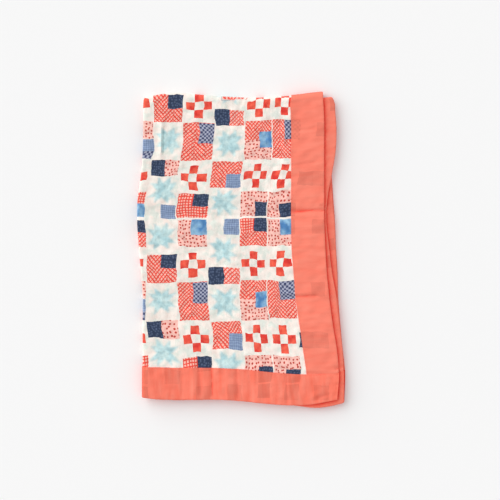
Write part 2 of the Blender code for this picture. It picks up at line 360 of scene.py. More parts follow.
# The printed fabrics: ground colour, figure colour and figure
FABRIC_COLUMNS = ("ground", "figure", "design")
FABRICS = {
    "herringbone": ("brick", "blush", "herringbone"),
    "lattice": ("brick", "blush", "lattice"),
    "ticks": ("pink", "brick_shade", "ticks"),
    "navy": ("navy", "slate", "dots"),
    "speckle": ("indigo", "mist", "check"),
    "blue": ("blue", "sky", "clouds"),
    "violet": ("violet", "violet_shade", "gingham"),
    "faded": ("faded_red", "pink", "herringbone"),
    "cross": ("poppy", "scarlet", "clouds"),
    "star": ("aqua", "pale_aqua", "clouds"),
}

# Sizes of the figures, in millimetres. The real ones are a little finer, and are drawn as coarse
# as they need to be to show from a step away. A share is how much of its pitch a figure fills. A
# stray is how far ticks and dots lie off their grid, 1 at most, and they end at a share of a pitch.
HERRINGBONE_BAND = 20.0
DASH_PITCH = 7.0
DASH_SHARES = (0.56, 0.74)
LATTICE_PITCH = 5.0
LATTICE_SHARE = 0.6
TICK_PITCH = 6.3
TICK_STRAY = 0.6
TICK_REACH = 0.27
DOT_PITCH = 4.6
DOT_STRAY = 0.7
DOT_EDGE = (0.16, 0.42)
CHECK_PITCH = 7.4
GINGHAM_PITCH = 3.8
CHECK_SHARE = 0.5  # of both
CLOUD_SIZE = 16.0
CLOUD_EDGE = (0.38, 0.62)
WARPS = ((30.0, 4.0), (7.0, 1.0))  # how the cloth pulls the print: size of each wave, and how far

# Ink lies unevenly on a crinkled cloth, in small hollows of the printed patches and in wide clouds
# all over. Across the span that holds most of a noise, its strength runs between two values.
NOISE_SPAN = (0.3, 0.7)
HOLLOW_SIZE = 7.0  # millimetres
HOLLOW_INK = (0.86, 1.14)
CLOUD_INK = (0.88, 1.06)

# Faint tints of the cream cloth, in parts of their own: their size and edge, how strong each is,
# and how far the aqua parts are moved off the pink ones
TINT_SIZE = 12.0  # millimetres
TINT_EDGE = (0.46, 0.62)
PINK_TINT = 0.6
AQUA_TINT = 0.7
AQUA_SHIFT = (310, 170, 40)

# The weave and the fine creases: width and length of a crease in millimetres across and along the
# cut, how fine its noise is, and how strong the weave is
PANEL_CREASE = (7.0, 16.0)
STRIP_CREASE = (60.0, 12.0)
CREASE_DETAIL = 4.0
CREASE_ROUGHNESS = 0.55
WEAVE_STRENGTH = 0.6

# The binding's dye: how light it gets in its clouds, and how much red light lets all of it through
DYE_CLOUDS = (0.0, 0.8)
FULL_RED = 0.65

# How near other cloth has to be for the painted red glow, which stands in for light passed between the
# layers, to fill a hollow of the binding, and how open the place is where that begins and where it is
# full
PAINTED_GLOW_REACH = 12 * MM
PAINTED_GLOW_OPENNESS = (0.95, 0.5)

SEWN_SHORT = 2 * MM  # the end stitches stop this far inside the side edges

# Thread and paper: how many waves of their noise go to a metre, and how rough the paper is
TWIST_WAVES = 900.0
TWIST_EDGE = (0.35, 0.65)
TOOTH_WAVES = 700.0
TOOTH_STRENGTH = 0.1
TOOTH_DEPTH = 0.1 * MM

# The stage: the floor, which way the key light shines, and where the camera hangs
FLOOR_HALF = 3.0
FLOOR_GAP = 0.3 * MM
KEY_COURSE = (2.2, -1.7, -1.45)  # from the upper left, down at the blanket
CAMERA_ASIDE = (15.7 * MM, 0.1 * MM)
CAMERA_BASE = STACK_TOP - 3 * MM  # about the level of the printed cloth, which it hangs over

# Short words for the nodes that are used most. A noise takes its place, a fourth coordinate that
# stays empty, its scale, its detail and its roughness. A range takes its value, where that runs
# from and to, and what it becomes there.
NODES = {
    "aim": "FunctionNodeAlignRotationToVector",
    "math": "ShaderNodeMath",
    "vector": "ShaderNodeVectorMath",
    "mix": "ShaderNodeMixRGB",
    "noise": "ShaderNodeTexNoise",
    "cells": "ShaderNodeTexVoronoi",
    "ramp": "ShaderNodeValToRGB",
    "range": "ShaderNodeMapRange",
}
SAME = 0.4  # whole numbers closer than this are the same
BARE = (0, 0, 0, 1)  # the chart's mark where nothing is printed


def linear(hex_colour):
    """An sRGB hex value as linear red, green and blue."""
    channels = [int(hex_colour[start:start + 2], 16) / 255 for start in (1, 3, 5)]
    return tuple(c / 12.92 if c <= 0.04045 else ((c + 0.055) / 1.055) ** 2.4 for c in channels)


def columns(names, rows):
    """A table's columns by name, as arrays in metres."""
    return dict(zip(names, np.array(rows, float).T * MM))


SIDE = columns(SIDE_COLUMNS, SIDES)
END = columns(END_COLUMNS, ENDS)


# The fold

def smooth(value):
    """0 below 0 and 1 above 1, with level ends."""
    held = np.clip(value, 0.0, 1.0)
    return held * held * (3 - 2 * held)


def mixed(low, high, share):
    return low + (high - low) * share


def eased(where, stations, values):
    """A smooth curve through a table's values: a cubic between each two rows."""
    slopes = np.gradient(values, stations)
    row = np.clip(np.searchsorted(stations, where) - 1, 0, len(stations) - 2)
    gap = stations[row + 1] - stations[row]
    part = np.clip((where - stations[row]) / gap, 0.0, 1.0)
    start = values[row] * (1 + 2 * part) + slopes[row] * gap * part
    finish = values[row + 1] * (3 - 2 * part) - slopes[row + 1] * gap * (1 - part)
    return start * (1 - part) ** 2 + finish * part**2


def hairpin(distance, radius, offset):
    """Cloth folded back on itself: its run away from the fold, and its height over the middle."""
    quarter_turn = math.pi / 2
    turn = np.clip(distance / radius, -quarter_turn, quarter_turn)
    run = radius - (radius + offset) * np.cos(turn)
    run = run + np.maximum(0.0, np.abs(distance) - radius * quarter_turn)
    return run, (radius + offset) * np.sin(turn)


ACROSS_REACH = hairpin(HALF_WIDTH, PAIR_RADIUS, 0.0)[0]
DOWN_REACH = hairpin(HALF_LENGTH, STACK_RADIUS, 0.0)[0]


def spread(run, reach, fold, seam, edge):
    """Lays a run between the fold and the cloth's edge, even on either side of the seam."""
    seam_run = reach - BORDER
    cloth = fold + (seam - fold) * run / seam_run
    border = seam + (edge - seam) * (run - seam_run) / BORDER
    return np.where(run < seam_run, cloth, border)


def placed(across, along, inward, down):
    """Where a point lies seen from above, from the tables' outline for its own layer."""
    outer = smooth((across + FOLD_BLEND) / (2 * FOLD_BLEND))
    upper = smooth((along + FOLD_BLEND) / (2 * FOLD_BLEND))

    def side(name):
        return eased(down, SIDE["down"], SIDE[name])

    def end(name):
        return eased(inward, END["inward"], END[name])

    left = mixed(side("fold_lower"), side("fold_upper"), upper) + LAYER_HALF
    outer_edge = mixed(side("edge_4"), side("edge_1"), upper)
    inner_edge = mixed(side("edge_3"), side("edge_2"), upper)
    right = mixed(inner_edge, outer_edge, outer)
    even_seam = left + (right - left) * (1 - BORDER / ACROSS_REACH)
    side_seam = mixed(even_seam, side("seam_1"), outer * upper)
    top = end("fold") - INNER_FOLD_DROP * (1 - outer) - PAIR_RADIUS - LAYER_HALF
    upper_edge = mixed(end("edge_2"), end("edge_1"), outer)
    lower_edge = mixed(end("edge_3"), end("edge_4"), outer)
    bottom = mixed(lower_edge, upper_edge, upper)
    even_seam = top + (bottom - top) * (1 - BORDER / DOWN_REACH)
    end_seam = mixed(even_seam, end("seam_1"), outer * upper)
    x = spread(inward, ACROSS_REACH, left, side_seam, right) - TABLE_MIDDLE_X
    y = spread(down, DOWN_REACH, top, end_seam, bottom) - TABLE_MIDDLE_Y
    return x, y


def ridges(inward, down, rows):
    """The height of a table's ridges and troughs."""
    height = np.zeros_like(inward)
    for row in rows:
        crease = dict(zip(CREASE_COLUMNS, np.array(row) * MM))
        start = np.array((crease["inward_1"], crease["down_1"]))
        course = np.array((crease["inward_2"], crease["down_2"])) - start
        from_start = np.stack((inward, down), axis=-1) - start
        part = np.clip(from_start @ course / (course @ course), 0.0, 1.0)
        away = np.linalg.norm(from_start - part[..., None] * course, axis=-1)
        height = height + crease["height"] * np.exp(-((away / crease["half_width"]) ** 2))
    return height


def crinkle(inward, down):
    """Small even waves of random course and length, mostly between -1 and 1."""
    draws = np.random.default_rng(CRINKLE_SEED)
    height = np.zeros_like(inward)
    for _ in range(CRINKLE_WAVES):
        course = draws.uniform(0, math.pi)
        length = draws.uniform(*CRINKLE_LENGTHS) * MM
        start = draws.uniform(0, 2 * math.pi)
        distance = inward * math.cos(course) + down * math.sin(course)
        height = height + np.sin(2 * math.pi * distance / length + start)
    return height / math.sqrt(CRINKLE_WAVES)


def relief(inward, down, crinkle_height):
    """How far the uppermost layer rises or sinks."""
    height = FIRST_FOLD_PUFF * np.exp(-((inward / PUFF_RUN) ** 2))
    height = height + SECOND_FOLD_PUFF * np.exp(-((down / PUFF_RUN) ** 2))
    middle = np.sin(math.pi * np.clip(inward / ACROSS_REACH, 0, 1))
    middle = middle * np.sin(math.pi * np.clip(down / DOWN_REACH, 0, 1))
    height = height - MIDDLE_SINK * middle
    waves = np.sin(2 * math.pi * (inward / WAVE_ACROSS + WAVE_PHASE))
    height = height + WAVE_HEIGHT * waves * np.sin(2 * math.pi * down / WAVE_DOWN)
    height = height + ridges(inward, down, CREASES) + ridges(inward, down, TUCKS)
    return height + crinkle_height * crinkle(inward, down)


def folded(across, along, offset, crinkle_height):
    """Where points of the flat blanket lie once it is folded in half twice."""
    inward, rise = hairpin(across, PAIR_RADIUS, offset)
    down, height = hairpin(along, STACK_RADIUS, rise)
    x, y = placed(across, along, inward, down)
    level = STACK_MIDDLE + height
    from_hem = np.minimum(HALF_WIDTH - np.abs(across), HALF_LENGTH - np.abs(along))
    settled = smooth((from_hem - BORDER - SETTLE_START) / SETTLE_RUN)
    share = np.maximum(0.0, (level - BINDING_LIFT) / (2 * STACK_MIDDLE - BINDING_LIFT))
    z = level - BINDING_LIFT * settled + share * relief(inward, down, crinkle_height)
    return np.stack((x, y, z), axis=-1)


def as_cut(across, along, offset):
    """The panel lies on the blanket as it was cut."""
    return across, along, offset


def round_side_edge(edge):
    """Where a strip that wraps a side edge lies on the blanket: 1 is the outer edge, -1 the inner."""

    def strip(round_edge, along, offset):
        run, height = hairpin(round_edge, BINDING_OFFSET, offset)
        return edge * (HALF_WIDTH - BINDING_THICKNESS / 2 - run), along, height

    return strip


def round_end_edge(edge):
    """Where a strip that wraps an end edge lies on the blanket: 1 is the upper edge, -1 the lower."""

    def strip(across, round_edge, offset):
        run, height = hairpin(round_edge, BINDING_OFFSET, offset)
        return across, edge * (HALF_LENGTH - BINDING_THICKNESS / 2 - run), height

    return strip


def pulled(x, y):
    """How far the print is pulled to the right and up at a place, in millimetres."""
    total, right_by, up_by = np.full_like(x, PULL_REST), np.zeros_like(x), np.zeros_like(x)
    for row in PULLS:
        pull = dict(zip(PULL_COLUMNS, row))
        away = np.hypot(x - pull["across"], y - pull["up"])
        weight = np.exp(-((away / PULL_REACH) ** 2))
        total = total + weight
        right_by = right_by + weight * pull["right_by"]
        up_by = up_by + weight * pull["up_by"]
    return right_by / total, up_by / total


def print_place(across, along):
    """Which column of the print a point falls in, and how many repeats down it."""
    inward, down = hairpin(across, PAIR_RADIUS, 0.0)[0], hairpin(along, STACK_RADIUS, 0.0)[0]
    nowhere = np.zeros_like(across)
    x, y = placed(np.abs(across), np.abs(along), inward, down)
    fold_x = placed(nowhere, np.abs(along), nowhere, down)[0]
    fold_y = placed(np.abs(across), nowhere, inward, nowhere)[1]
    x = (fold_x + np.sign(across) * (x - fold_x)) / MM
    y = (fold_y + np.sign(along) * (y - fold_y)) / MM
    lapped = (along > 0) & (LAP["left"] < x) & (x < LAP["right"])
    lapped = lapped & (LAP["bottom"] < y) & (y < LAP["top"])
    right_by, up_by = pulled(x, y)
    x = x - right_by - np.interp(y, *np.array(LEAN).T)
    y = y - up_by
    beyond = np.arange(1, COLUMNS_BEYOND + 1) * COLUMN_WIDTH
    before, after = COLUMN_MIDDLES[0] - beyond[::-1], COLUMN_MIDDLES[-1] + beyond
    middles = np.concatenate((before, COLUMN_MIDDLES, after))
    column = np.interp(x, middles, np.arange(len(middles)))
    heights, distances = np.array(EASE).T
    repeat = np.interp(y, heights, distances) - np.maximum(0.0, y - heights[-1])
    repeat = repeat + LAP["further"] * lapped
    return column, repeat / REPEAT_LENGTH + REPEATS_BEYOND


# Cutting the cloth

def divided(low, high, step):
    """Stations after the low mark up to the high one, about one step apart."""
    return list(np.linspace(low, high, max(1, round((high - low) / step)) + 1)[1:])


def edge_to_edge(radius, border, reach, border_step, wide_step=WIDE_STEP):
    """Stations from one edge of the blanket to the other, wide before the fold and fine after it."""
    bend = radius * math.pi / 2
    halves = []
    for cloth_step, hem_step in ((wide_step, wide_step), (FINE_STEP, border_step)):
        half = divided(bend, min(border, reach), cloth_step)
        if reach > border:
            half = half + divided(border, reach, hem_step)
        halves.append(half)
    turn = list(np.linspace(-bend, bend, FOLD_STEPS + 1))
    return [-s for s in reversed(halves[0])] + turn + halves[1]


def across_stations(reach, *steps):
    """Stations from one side edge to the other, fine in layers 1 and 4, with edge_to_edge's steps."""
    return edge_to_edge(PAIR_RADIUS, HALF_WIDTH - BORDER, reach, *steps)


def along_stations(reach, *steps):
    """Stations from one end to the other, fine in layers 1 and 2, with edge_to_edge's steps."""
    return edge_to_edge(STACK_RADIUS, HALF_LENGTH - BORDER, reach, *steps)


def round_edge_stations():
    """Stations across a binding strip, close together where it turns round the edge."""
    bend = BINDING_OFFSET * math.pi / 2
    flat = divided(bend, ROUND_EDGE_WIDTH / 2, STRIP_STEP)
    return [-s for s in reversed(flat)] + list(np.linspace(-bend, bend, EDGE_STEPS + 1)) + flat


def slab_faces(rows, cols):
    """The faces of a closed slab of points: its upper side, its under side and its rim."""
    index = np.arange(rows * cols).reshape(rows, cols)
    corners = (index[:-1, :-1], index[1:, :-1], index[1:, 1:], index[:-1, 1:])
    upper = np.stack(corners, axis=-1).reshape(-1, 4)
    under = upper[:, ::-1] + rows * cols
    ring = np.concatenate((index[:-1, 0], index[-1, :-1], index[:0:-1, -1], index[0, :0:-1]))
    after = np.roll(ring, -1)
    rim = np.stack((after, ring, ring + rows * cols, after + rows * cols), axis=-1)
    return np.concatenate((upper, under, rim))


def facing_out(places, faces):
    """The faces, wound so that they point out of the sheet that they close."""
    corners = places[faces]
    crossed = np.cross(corners[:, 2] - corners[:, 0], corners[:, 3] - corners[:, 1])
    enclosed = np.sum(corners.mean(axis=1) * crossed)
    return faces if enclosed > 0 else faces[:, ::-1]


def new_object(name, data):
    """A new object in the scene."""
    made = bpy.data.objects.new(name, data)
    bpy.context.scene.collection.objects.link(made)
    return made


def sewn_piece(name, stations_x, stations_y, thickness, lay, crinkle_height, material):
    """Cuts a closed sheet of cloth at the stations, folds it, and marks the print and the cut on it."""
    flat_x, flat_y = (grid.ravel() for grid in np.meshgrid(stations_x, stations_y, indexing="ij"))
    faces = slab_faces(len(stations_x), len(stations_y))
    places, prints, cuts = [], [], []
    on_cut = np.stack((flat_x, flat_y), axis=-1) / MM
    if np.ptp(stations_x) > np.ptp(stations_y):
        on_cut = on_cut[:, ::-1]
    for offset in (thickness / 2, -thickness / 2):
        across, along, height = lay(flat_x, flat_y, np.full_like(flat_x, offset))
        places.append(folded(across, along, height, crinkle_height))
        prints.append(np.stack(print_place(across, along), axis=-1))
        cuts.append(on_cut)
    places = np.concatenate(places)
    faces = facing_out(places, faces)
    mesh = bpy.data.meshes.new(name)
    mesh.from_pydata(places.tolist(), [], faces.tolist())
    for map_name, points in (("print", prints), ("cut", cuts)):
        uv = mesh.uv_layers.new(name=map_name)
        uv.data.foreach_set("uv", np.concatenate(points)[faces.ravel()].astype(np.float32).ravel())
    mesh.shade_smooth()
    mesh.set_sharp_from_angle(angle=SHARP_ANGLE)
    mesh.materials.append(material)
    return new_object(name, mesh)


# Materials

def add(tree, kind, *values, out=0, **settings):
    """Adds a node with its settings, and its operation if the kind ends in one.

    Each value or other node's output goes to the input in its place.
    """
    word, _, operation = kind.partition(" ")
    node = tree.nodes.new(NODES.get(word, word))
    if operation:
        node.operation = operation.upper()
    for name, setting in settings.items():
        setattr(node, name, setting)
    for socket, value in zip(node.inputs, values):
        if isinstance(value, bpy.types.NodeSocket):
            tree.links.new(value, socket)
        elif value is not None:
            socket.default_value = value
    return node.outputs[out]


def half_column(tree, repeat, rows, half):
    """One half of a column in steps: red is the fabric's number, green the middle of its patch."""
    numbers = {name: (number + 1) / len(FABRICS) for number, name in enumerate(FABRICS)}
    stepped = add(tree, "ramp", repeat)
    ramp = stepped.node.color_ramp
    ramp.interpolation = "CONSTANT"
    ramp.elements.remove(ramp.elements[1])
    ramp.elements[0].color = BARE
    tops = [row[0] for row in rows]
    for row in rows:
        patch = dict(zip(CHART_COLUMNS, row))
        top, bottom = patch["top"] / REPEAT_LENGTH, patch["bottom"] / REPEAT_LENGTH
        fabric = patch.get(half, patch["left"])
        mark = (numbers.get(fabric, 0), (top + bottom) / 2 % 1, 0, 1)
        if top < 0:
            ramp.elements[0].color = mark
            ramp.elements.new(1 + top).color = mark
        else:
            ramp.elements.new(top).color = mark
        if patch["bottom"] not in tops:
            ramp.elements.new(bottom).color = BARE
    return stepped


def charted(tree, column, repeat, right_half):
    """The chart's marks: which fabric lies at a place, and where the middle of its patch is."""
    turn = add(tree, "math floored_modulo", column, float(len(CHART)))
    chosen = None
    for number, rows in enumerate(CHART.values()):
        left, right = (half_column(tree, repeat, rows, half) for half in ("left", "right"))
        pair = add(tree, "mix", right_half, left, right)
        here = add(tree, "math compare", turn, float(number), SAME)
        chosen = pair if chosen is None else add(tree, "mix", here, chosen, pair)
    return add(tree, "ShaderNodeSeparateColor", chosen).node.outputs


def cross_and_star(tree, sideways, down):
    """1 inside a cross or a star and 0 outside, from how far off its middle a place is."""
    near = add(tree, "math minimum", down, sideways)
    far = add(tree, "math maximum", down, sideways)
    in_band = add(tree, "math less_than", near, CROSS_SQUARE)
    past_middle = add(tree, "math greater_than", far, CROSS_SQUARE)
    within = add(tree, "math less_than", far, CROSS_REACH)
    cross = add(tree, "math multiply", in_band, past_middle)
    cross = add(tree, "math multiply", cross, within)
    spare = add(tree, "math subtract", STAR_SQUARE, near)
    spare = add(tree, "range", spare, -STAR_SOFTNESS / 2, STAR_SOFTNESS / 2, 0.0, 1.0)
    point_line = add(tree, "range", near, 0.0, STAR_SQUARE, STAR_NOTCH, STAR_POINT)
    within = add(tree, "math subtract", point_line, far)
    within = add(tree, "range", within, -STAR_SOFTNESS / 2, STAR_SOFTNESS, 0.0, 1.0)
    star = add(tree, "math multiply", spare, within)
    thinner = add(tree, "range", far, STAR_NOTCH, STAR_POINT, *STAR_INK)
    star = add(tree, "math multiply", star, thinner)
    return {"cross": cross, "star": star}


def warped(tree, place):
    """The print's place, pulled about a little as a soft cloth pulls it."""
    strayed = place
    for wave_size, reach in WARPS:
        wander = add(tree, "noise", place, None, 1 / wave_size, 1.0, out="Color")
        wander = add(tree, "vector subtract", wander, (0.5, 0.5, 0.5))
        wander = add(tree, "vector multiply", wander, (2 * reach, 2 * reach, 0))
        strayed = add(tree, "vector add", strayed, wander)
    return strayed


def print_tree(colours):
    """The colour of the block print as a node group."""
    tree = bpy.data.node_groups.new("block_print", "ShaderNodeTree")
    tree.interface.new_socket("Colour", in_out="OUTPUT", socket_type="NodeSocketColor")
    marked = add(tree, "ShaderNodeUVMap", uv_map="print")
    place = add(tree, "vector multiply", marked, (COLUMN_WIDTH, REPEAT_LENGTH, 1))
    strayed = warped(tree, place)
    parts = add(tree, "ShaderNodeSeparateXYZ", strayed).node.outputs
    x, y = parts["X"], parts["Y"]

    # Which patch of the chart this is
    column = add(tree, "math divide", x, COLUMN_WIDTH)
    column = add(tree, "math round", column)
    sideways = add(tree, "math multiply", column, COLUMN_WIDTH)
    sideways = add(tree, "math subtract", x, sideways)
    repeat = add(tree, "math divide", y, REPEAT_LENGTH)
    repeat = add(tree, "math fract", repeat)
    right_half = add(tree, "math greater_than", sideways, 0.0)
    marks = charted(tree, column, repeat, right_half)
    fabric = add(tree, "math multiply", marks["Red"], float(len(FABRICS)))

    # How far across and down from the patch's middle
    down = add(tree, "math subtract", repeat, marks["Green"])
    nearest = add(tree, "math round", down)
    down = add(tree, "math subtract", down, nearest)
    down = add(tree, "math multiply", down, REPEAT_LENGTH)
    down = add(tree, "math absolute", down)
    sideways = add(tree, "math absolute", sideways)
    patch = add(tree, "math less_than", sideways, PATCH_HALF_WIDTH)
    shapes = cross_and_star(tree, sideways, down)

    # The block leaves less ink in the hollows of the cloth
    patchy = add(tree, "noise", place, None, 1 / HOLLOW_SIZE, 2.0)
    patchy = add(tree, "range", patchy, *NOISE_SPAN, *HOLLOW_INK)
    designs = figure_designs(tree, strayed, x, y)
    print_colour = cream_ground(tree, place, colours)
    for number, (name, row) in enumerate(FABRICS.items()):
        dyed = dict(zip(FABRIC_COLUMNS, row))
        ground, figure = colours[dyed["ground"]], colours[dyed["figure"]]
        cloth = add(tree, "mix", designs[dyed["design"]], ground, figure)
        cloth = add(tree, "mix", 1.0, cloth, patchy, blend_type="MULTIPLY")
        here = add(tree, "math compare", fabric, number + 1.0, SAME)
        here = add(tree, "math multiply", here, shapes.get(name, patch))
        print_colour = add(tree, "mix", here, print_colour, cloth)
    uneven = add(tree, "noise", place, None, 1 / CLOUD_SIZE, 3.0)
    uneven = add(tree, "range", uneven, *NOISE_SPAN, *CLOUD_INK)
    print_colour = add(tree, "mix", 1.0, print_colour, uneven, blend_type="MULTIPLY")
    leaving = tree.nodes.new("NodeGroupOutput")
    tree.links.new(print_colour, leaving.inputs["Colour"])
    return tree


def figure_designs(tree, strayed, x, y):
    """The figures of the printed fabrics, each 0 on its ground and 1 on its figure."""

    def bars(value, pitch, share):
        turns = add(tree, "math divide", value, pitch)
        part = add(tree, "math fract", turns)
        return add(tree, "math less_than", part, share)

    def grid(pitch, share):
        return bars(x, pitch, share), bars(y, pitch, share)

    def spots(pitch, stray):
        cells = add(tree, "cells", strayed, voronoi_dimensions="2D")
        cells.node.inputs["Scale"].default_value = 1 / pitch
        cells.node.inputs["Randomness"].default_value = stray
        return cells

    zigzag = add(tree, "math pingpong", x, HERRINGBONE_BAND)
    slant = add(tree, "math add", y, zigzag)
    counter = add(tree, "math subtract", y, zigzag)
    herringbone = bars(slant, DASH_PITCH, DASH_SHARES[0]), bars(counter, DASH_PITCH, DASH_SHARES[1])
    gingham = add(tree, "math add", *grid(GINGHAM_PITCH, CHECK_SHARE))
    clouds = add(tree, "noise", strayed, None, 1 / CLOUD_SIZE, 2.0)
    return {
        "herringbone": add(tree, "math multiply", *herringbone),
        "lattice": add(tree, "math multiply", *grid(LATTICE_PITCH, LATTICE_SHARE)),
        "ticks": add(tree, "math less_than", spots(TICK_PITCH, TICK_STRAY), TICK_REACH),
        "dots": add(tree, "range", spots(DOT_PITCH, DOT_STRAY), *DOT_EDGE, 1.0, 0.0),
        "check": add(tree, "math compare", *grid(CHECK_PITCH, CHECK_SHARE), SAME),
        "gingham": add(tree, "math multiply", gingham, 0.5),
        "clouds": add(tree, "range", clouds, *CLOUD_EDGE, 0.0, 1.0),
    }


def cream_ground(tree, place, colours):
    """Unbleached muslin, faintly tinted where the layer below shows through."""
    pink_parts = add(tree, "noise", place, None, 1 / TINT_SIZE, 3.0)
    pink_parts = add(tree, "range", pink_parts, *TINT_EDGE, 0.0, PINK_TINT)
    moved = add(tree, "vector add", place, AQUA_SHIFT)
    aqua_parts = add(tree, "noise", moved, None, 1 / TINT_SIZE, 3.0)
    aqua_parts = add(tree, "range", aqua_parts, *TINT_EDGE, 0.0, AQUA_TINT)
    ground = add(tree, "mix", pink_parts, colours["cream"], colours["cream_pink"])
    return add(tree, "mix", aqua_parts, ground, colours["cream_aqua"])


def weave_bump(tree, sizes, crease_shape):
    """Plain weave with creases over it. crease_shape is across and along the cut, in millimetres."""
    cut = add(tree, "ShaderNodeUVMap", uv_map="cut")
    turn_per_millimetre = 2 * math.pi / sizes.thread_pitch * MM
    threads = add(tree, "vector scale", cut, None, None, turn_per_millimetre)
    threads = add(tree, "vector sine", threads)
    parts = add(tree, "ShaderNodeSeparateXYZ", threads).node.outputs
    weave = add(tree, "math add", parts["X"], parts["Y"])
    creased = add(tree, "vector divide", cut, (*crease_shape, 1.0))
    creases = add(tree, "noise", creased, None, 1.0, CREASE_DETAIL, CREASE_ROUGHNESS)
    bumped = add(tree, "ShaderNodeBump", WEAVE_STRENGTH, sizes.weave_depth, None, weave)
    return add(tree, "ShaderNodeBump", 1.0, sizes.crease_depth, None, creases, bumped)


def material_with_shader(name, roughness, sheen, fuzz=(1.0, 1.0, 1.0)):
    """A new material with a matt fibre shader, whose fuzz has its own colour."""
    material = bpy.data.materials.new(name)
    material.use_nodes = True
    shader = material.node_tree.nodes["Principled BSDF"]
    fibre = {
        "Roughness": roughness,
        "Metallic": 0.0,
        "IOR": 1.5,
        "Specular IOR Level": 0.25,
        "Sheen Weight": sheen,
        "Sheen Roughness": 0.5,
        "Sheen Tint": (*fuzz, 1),
    }
    for socket, value in fibre.items():
        shader.inputs[socket].default_value = value
    return material, shader


def printed_muslin(settings):
    """Block-printed cotton muslin: matt, soft-edged inks on cream, and the crinkle of washed gauze."""
    material, shader = material_with_shader("block_printed_cotton_muslin", roughness=0.88, sheen=0.15)
    tree = material.node_tree
    printed = add(tree, "ShaderNodeGroup", node_tree=print_group(settings)).node.outputs
    tree.links.new(printed["Colour"], shader.inputs["Base Color"])
    tree.links.new(weave_bump(tree, settings, PANEL_CREASE), shader.inputs["Normal"])
    return material


def coral_muslin(name, settings, binding, coral):
    """Piece-dyed cotton muslin: matt coral, thin enough for the print's dark squares to show through.

    Its fuzz glows red along the hems, where light has passed through the dyed threads, and a red glow is
    painted into the hollows between them.
    """
    material, shader = material_with_shader(name, roughness=0.85, sheen=0.6, fuzz=binding.fuzz)
    tree = material.node_tree
    printed = add(tree, "ShaderNodeGroup", node_tree=print_group(settings)).node.outputs
    cut = add(tree, "ShaderNodeUVMap", uv_map="cut")
    cut = add(tree, "vector divide", cut, (*STRIP_CREASE, 1.0))
    clouds = add(tree, "noise", cut, None, 1.0, 3.0)
    clouds = add(tree, "range", clouds, *NOISE_SPAN, *DYE_CLOUDS)
    dyed = add(tree, "mix", clouds, (*coral, 1), (*binding.coral_light, 1))
    # Coral cloth passes only red light, so the red squares below it do not show and the blue ones do
    red_light = add(tree, "ShaderNodeSeparateColor", printed["Colour"], out="Red")
    red_light = add(tree, "range", red_light, 0.0, FULL_RED, 0.0, 1.0)
    through = add(tree, "mix", binding.show_through, (1, 1, 1, 1), red_light)
    colour = add(tree, "mix", 1.0, dyed, through, blend_type="MULTIPLY")
    # Painted glow: the red of light that has come through dyed cloth is painted into the hollows between
    # the hems, where nearby cloth shades the binding
    openness = add(tree, "ShaderNodeAmbientOcclusion", None, PAINTED_GLOW_REACH, out="AO")
    hollow = add(tree, "range", openness, *PAINTED_GLOW_OPENNESS, 0.0, 1.0)
    colour = add(tree, "mix", hollow, colour, (*binding.painted_hollow_glow, 1))
    tree.links.new(colour, shader.inputs["Base Color"])
    tree.links.new(weave_bump(tree, settings, STRIP_CREASE), shader.inputs["Normal"])
    return material


def sewing_thread(stitching):
    """Spun cotton sewing thread: twisted, so it catches a little more light than the cloth."""
    material, shader = material_with_shader("spun_cotton_sewing_thread", roughness=0.6, sheen=0.1)
    tree = material.node_tree
    object_place = add(tree, "ShaderNodeTexCoord", out="Object")
    twist = add(tree, "noise", object_place, None, TWIST_WAVES, 1.0)
    twist = add(tree, "range", twist, *TWIST_EDGE, 0.0, 1.0)
    colour = add(tree, "mix", twist, (*stitching.thread_dark, 1), (*stitching.thread_light, 1))
    tree.links.new(colour, shader.inputs["Base Color"])
    return material


def seamless_paper(stage):
    """Matt white background paper: no gloss, a faint tooth."""
    material, shader = material_with_shader("matt_background_paper", roughness=0.95, sheen=0.0)
    tree = material.node_tree
    object_place = add(tree, "ShaderNodeTexCoord", out="Object")
    tooth = add(tree, "noise", object_place, None, TOOTH_WAVES, 2.0)
    tooth = add(tree, "ShaderNodeBump", TOOTH_STRENGTH, TOOTH_DEPTH, None, tooth)
    tree.links.new(tooth, shader.inputs["Normal"])
    shader.inputs["Base Color"].default_value = (*stage.floor_colour, 1)
    return material


def print_group(settings):
    """The block print's node group, made once."""
    ready = bpy.data.node_groups.get("block_print")
    if ready:
        return ready
    return print_tree({name: (*getattr(settings, name), 1) for name in PRINT_INKS})


# Settings

def colour_property(name, description, hex_colour):
    colour = linear(hex_colour)
    return bpy.props.FloatVectorProperty(
        name=name, description=description, default=colour, subtype="COLOR", size=3, min=0, max=1
    )


def number_property(name, description, value, lowest=0, **others):
    return bpy.props.FloatProperty(
        name=name, description=description, default=value, min=lowest, **others
    )


def length_property(name, description, metres):
    return number_property(name, description, metres, precision=5, subtype="DISTANCE", unit="LENGTH")


